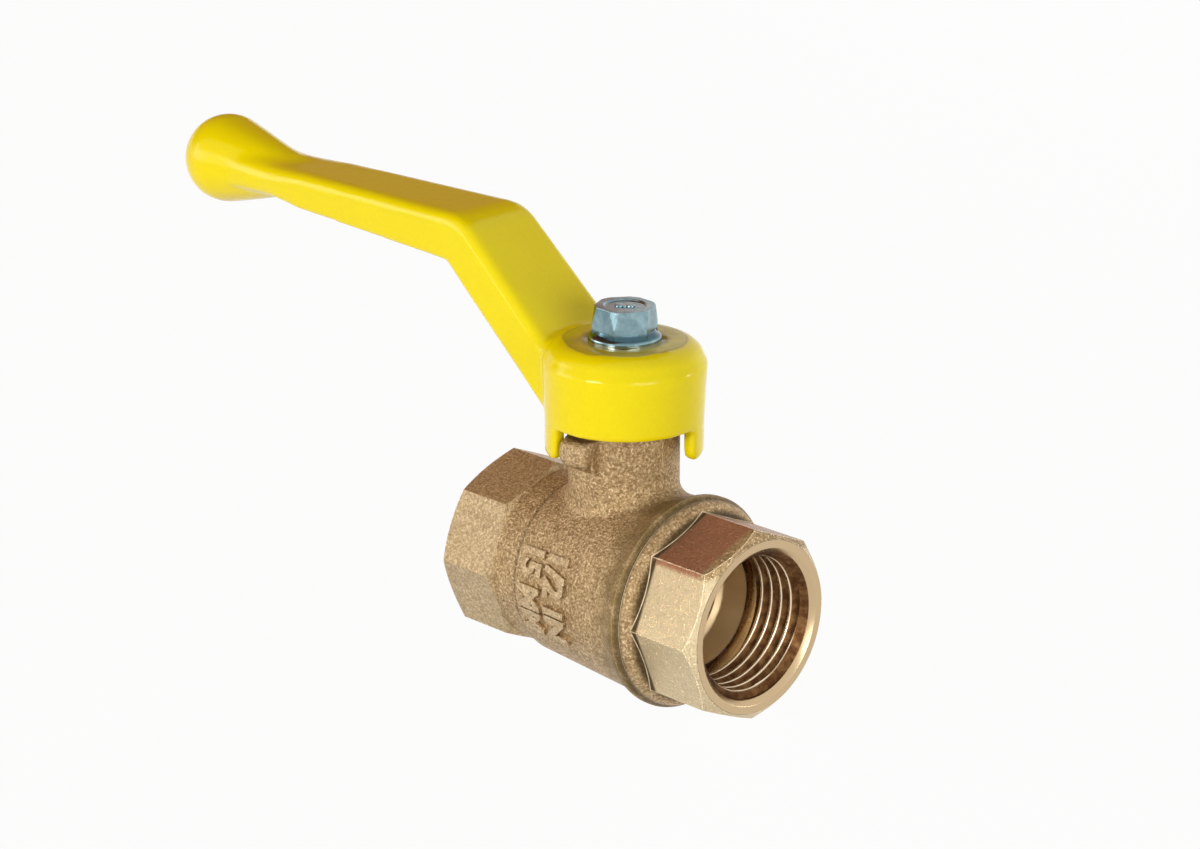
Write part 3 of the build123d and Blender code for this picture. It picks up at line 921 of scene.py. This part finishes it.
def makeThread(end, side, settings):
    reach = settings["reach"][end]
    bm = bmesh.new()
    start = side * reach if side < 0 else reach - settings["length"]
    start -= settings["pitch"]
    ring = [bm.verts.new((mm(start + x), 0, mm(r))) for x, r in settings["profile"]]
    edges = [bm.edges.new(pair) for pair in zip(ring, ring[1:])]
    turns = settings["length"] / settings["pitch"] + 2
    steps = int(turns * settings["stepsPerTurn"])
    bmesh.ops.spin(
        bm, geom=ring + edges, cent=(0, 0, 0), axis=(1, 0, 0),
        dvec=(mm(settings["pitch"]) / settings["stepsPerTurn"], 0, 0),
        angle=2 * math.pi * steps / settings["stepsPerTurn"], steps=steps, use_merge=False,
    )
    bmesh.ops.remove_doubles(bm, verts=bm.verts, dist=mm(0.001))
    # Inner end at the undercut, outer end just inside the countersink's lip
    inner = side * (reach - settings["length"])
    outer = side * (reach - settings["lipLeft"])
    for at, keep in ((inner, side), (outer, -side)):
        bmesh.ops.bisect_plane(
            bm, geom=bm.verts[:] + bm.edges[:] + bm.faces[:], plane_co=(mm(at), 0, 0),
            plane_no=(keep, 0, 0), clear_inner=True,
        )
    for v in bm.verts:
        cone = mm(settings["mouthRadius"] - (reach - side * v.co.x * 1000))
        setRadius(v, max(math.hypot(v.co.y, v.co.z), cone))
    # Close the back: both ends spread to the wall and are joined along it
    rims = [e for e in bm.edges if e.is_boundary]
    spread = bmesh.ops.extrude_edge_only(bm, edges=rims)["geom"]
    for v in spread:
        if isinstance(v, bmesh.types.BMVert):
            setRadius(v, mm(settings["wall"]))
    outer = [e for e in spread if isinstance(e, bmesh.types.BMEdge) and e.is_boundary]
    bmesh.ops.bridge_loops(bm, edges=outer)
    bmesh.ops.remove_doubles(bm, verts=bm.verts, dist=mm(0.0005))
    bmesh.ops.recalc_face_normals(bm, faces=bm.faces)
    finishPiece(
        end + "_thread_ridge", bm, threadBrass, "valve_body",
        settings["sharpAngle"],
    )


makeThread("front", 1, pipeThread)
makeThread("rear", -1, pipeThread)
print("threads wound")


# Raised size figures down the side of the barrel, in two lines
figures = {
    "lines": [("1/2 IN", -1.85), ("15 MM", -6.95)],
    "capHeight": 4.3,
    "run": 12.6,
    "top": 27.0,
    "height": 0.5,
    "rooting": 0.25,
    "rounding": 0.12,
    "barrel": ((-8.1, 13.25), (9.9, 14.35)),
    "meanRadius": 13.7,
}

# Raised figures: weight and joined in the font's own size, longEdge in millimetres
lettering = {
    "weight": 0.05,
    "joined": 0.0005,
    "longEdge": 0.9,
    "divisions": 3,
    "rimAngle": 68.755,
    "topWear": 0.2,
    "sharpAngle": 50,
}


def textMesh(words, name):
    curve = bpy.data.curves.new(name, "FONT")
    curve.body = words
    curve.size = 1.0
    curve.offset = lettering["weight"]
    curve.resolution_u = 4
    bm = intoBmesh(evaluatedMesh(linked(name, curve)))
    bmesh.ops.remove_doubles(bm, verts=bm.verts, dist=lettering["joined"])
    return bm


def raisedText(words, name, width, capHeight, height, rounding):
    # Flat letters in millimetres from their lower left corner, raised along +Z
    bm = textMesh(words, name)
    low = Vector((min(v.co.x for v in bm.verts), min(v.co.y for v in bm.verts), 0))
    high = Vector((max(v.co.x for v in bm.verts), max(v.co.y for v in bm.verts), 0))
    for v in bm.verts:
        v.co.x = (v.co.x - low.x) / (high.x - low.x) * width
        v.co.y = (v.co.y - low.y) / (high.y - low.y) * capHeight
    for _ in range(lettering["divisions"]):
        bmesh.ops.triangulate(bm, faces=bm.faces)
        long = [e for e in bm.edges if e.calc_length() > lettering["longEdge"]]
        bmesh.ops.subdivide_edges(bm, edges=long, cuts=1)
    bmesh.ops.triangulate(bm, faces=bm.faces)
    raised = bmesh.ops.extrude_face_region(bm, geom=bm.faces[:])
    top = [g for g in raised["geom"] if isinstance(g, bmesh.types.BMVert)]
    bmesh.ops.translate(bm, verts=top, vec=(0, 0, height))
    bmesh.ops.recalc_face_normals(bm, faces=bm.faces)
    rim = [
        e for e in sharpEdges(bm, lettering["rimAngle"])
        if min(v.co.z for v in e.verts) > height * 0.9
    ]
    bevelled(bm, rim, rounding, 2)
    wearAndHighlight = bm.verts.layers.float["edgeWearAndHighlight"]
    for v in bm.verts:
        if v.co.z > height * 0.99:
            v[wearAndHighlight] = max(v[wearAndHighlight], lettering["topWear"])
    return bm


def makeFigures(settings):
    (x0, r0), (x1, r1) = settings["barrel"]
    for index, (words, startX) in enumerate(settings["lines"]):
        name = f"size_figures_{index + 1}"
        bm = raisedText(
            words, name, settings["run"], settings["capHeight"],
            settings["height"] + settings["rooting"], settings["rounding"],
        )
        for v in bm.verts:
            x = startX + v.co.y
            surface = r0 + (x - x0) / (x1 - x0) * (r1 - r0)
            radius = surface - settings["rooting"] + v.co.z
            angle = math.radians(settings["top"]) - v.co.x / settings["meanRadius"]
            v.co = Vector((x, -radius * math.cos(angle), radius * math.sin(angle))) * mm(1)
        bmesh.ops.recalc_face_normals(bm, faces=bm.faces)
        finishPiece(
            name, bm, forgedBrass, "valve_body", lettering["sharpAngle"]
        )


makeFigures(figures)

# Raised strength class in the screw's dish
screwMark = {
    "words": "8.8",
    "width": 2.9,
    "capHeight": 1.3,
    "height": 0.2,
    "rooting": 0.05,
    "rounding": 0.05,
    "floor": 39.85,
    "turn": 40,
}


def makeScrewMark(settings):
    bm = raisedText(
        settings["words"], "screw_mark", settings["width"], settings["capHeight"],
        settings["height"], settings["rounding"],
    )
    turn = Quaternion((0, 0, 1), math.radians(settings["turn"]))
    centre = Vector((settings["width"] / 2, settings["capHeight"] / 2, 0))
    for v in bm.verts:
        v.co = (turn @ (v.co - centre)) * mm(1)
        v.co.z += mm(settings["floor"] - settings["rooting"])
    finishPiece(
        "screw_mark", bm, zincPlate, "operating", lettering["sharpAngle"]
    )


makeScrewMark(screwMark)
print("raised figures made")


# Finishes of the CAD nodes that stay
finishes = {
    "ball": chromedBall,
    "seat_rear": seatPlastic,
    "seat_front": seatPlastic,
    "stem": turnedBrass,
    "thrust_washer": seatPlastic,
    "lower_o_ring": blackRubber,
    "upper_o_ring": blackRubber,
    "packing": seatPlastic,
    "gland_nut": turnedBrass,
}
for nodeName, material in finishes.items():
    nodes[nodeName].data.materials.clear()
    nodes[nodeName].data.materials.append(material)


# Floor, world, ceiling card and lamps
studio = {
    "floorLevel": -15.3,
    "floorSize": 3000,
    "floorTone": 0.85,
    "floorWhite": 0.955,      # share of the floor that is plain white to the camera
    "ambient": 0.23,
    "ceiling": {
        "colour": (0.40, 0.14, 0.075, 1),
        "centre": (-296, 52, 334),
        "aim": (0, 0, 10),
        "size": 620,
    },
    # Watts, centre, aim, width, height, and whether its reflection shows
    "lamps": {
        "keyLamp": (1.7, (-632, -632, 125), (0, 0, 10), 500, 380, True),
        "frontLamp": (2.3, (25, -720, 165), (0, 0, 20), 280, 120, True),
        "sideLamp": (0.35, (450, 598, 70), (0, 0, 20), 120, 70, True),
        "fillLamp": (3.1, (810, -250, 120), (0, 0, 10), 560, 420, True),
        "rearLamp": (3.6, (-60, 900, 220), (0, 0, 10), 600, 450, False),
    },
}


def seenRay(tree):
    # 1 for what the camera sees, also in a mirror or through glass, else 0
    path = tree.nodes.new("ShaderNodeLightPath")
    return larger(tree, path.outputs["Is Camera Ray"], larger(
        tree, path.outputs["Is Glossy Ray"], path.outputs["Is Transmission Ray"]
    ))


def emptyMaterial(name):
    material = bpy.data.materials.new(name)
    material.use_nodes = True
    material.node_tree.nodes.clear()
    return material, material.node_tree


def endTree(tree, kind, last):
    output = tree.nodes.new(kind)
    tree.links.new(last.outputs[0], output.inputs[0])


def makeFloor(settings):
    bm = bmesh.new()
    bmesh.ops.create_grid(bm, x_segments=1, y_segments=1, size=mm(settings["floorSize"]))
    bmesh.ops.translate(bm, verts=bm.verts, vec=(0, 0, mm(settings["floorLevel"])))
    floor = linked("floor", asMesh(bm, "floor"))
    material, tree = emptyMaterial("paleFloor")
    tone = settings["floorTone"]
    plain = addNode(tree, "ShaderNodeBsdfDiffuse", {"Color": (tone, tone, tone, 1)})
    white = addNode(tree, "ShaderNodeEmission", {"Color": (1, 1, 1, 1), "Strength": 1.0})
    share = product(tree, seenRay(tree), settings["floorWhite"])
    mixed = addNode(
        tree, "ShaderNodeMixShader", {0: share, 1: plain.outputs[0], 2: white.outputs[0]}
    )
    endTree(tree, "ShaderNodeOutputMaterial", mixed)
    floor.data.materials.append(material)


def makeWorld(settings):
    world = bpy.data.worlds.new("world")
    world.use_nodes = True
    bpy.context.scene.world = world
    tree = world.node_tree
    tree.nodes.clear()
    strength = ramp(tree, seenRay(tree), 0.0, 1.0, settings["ambient"], 1.0)
    back = addNode(tree, "ShaderNodeBackground", {"Color": (1, 1, 1, 1), "Strength": strength})
    endTree(tree, "ShaderNodeOutputWorld", back)


def makeCeiling(settings):
    # A dark brown card above and behind the valve, for reflections and light only
    bm = bmesh.new()
    bmesh.ops.create_grid(bm, x_segments=1, y_segments=1, size=mm(settings["size"]) / 2)
    facing = (Vector(settings["aim"]) - Vector(settings["centre"])).to_track_quat("Z", "Y")
    bmesh.ops.rotate(bm, matrix=facing.to_matrix(), verts=bm.verts)
    bmesh.ops.translate(bm, vec=Vector(settings["centre"]) * mm(1), verts=bm.verts)
    card = linked("ceiling", asMesh(bm, "ceiling"))
    material, tree = emptyMaterial("ceiling")
    glow = addNode(
        tree, "ShaderNodeEmission", {"Color": settings["colour"], "Strength": 1.0}
    )
    endTree(tree, "ShaderNodeOutputMaterial", glow)
    card.data.materials.append(material)
    card.visible_camera = False
    card.visible_shadow = False


def makeLamp(name, energy, centre, aim, width, height, mirrored):
    data = bpy.data.lights.new(name, "AREA")
    data.shape = "RECTANGLE"
    data.size = mm(width)
    data.size_y = mm(height)
    data.energy = energy
    lamp = linked(name, data)
    lamp.visible_glossy = mirrored
    lamp.location = Vector(centre) * mm(1)
    lamp.rotation_euler = (Vector(aim) - Vector(centre)).to_track_quat("-Z", "Y").to_euler()


makeFloor(studio)
makeWorld(studio)
makeCeiling(studio["ceiling"])
for lampName, values in studio["lamps"].items():
    makeLamp(lampName, *values)
print("stage set")

bpy.context.scene.view_settings.view_transform = "Standard"
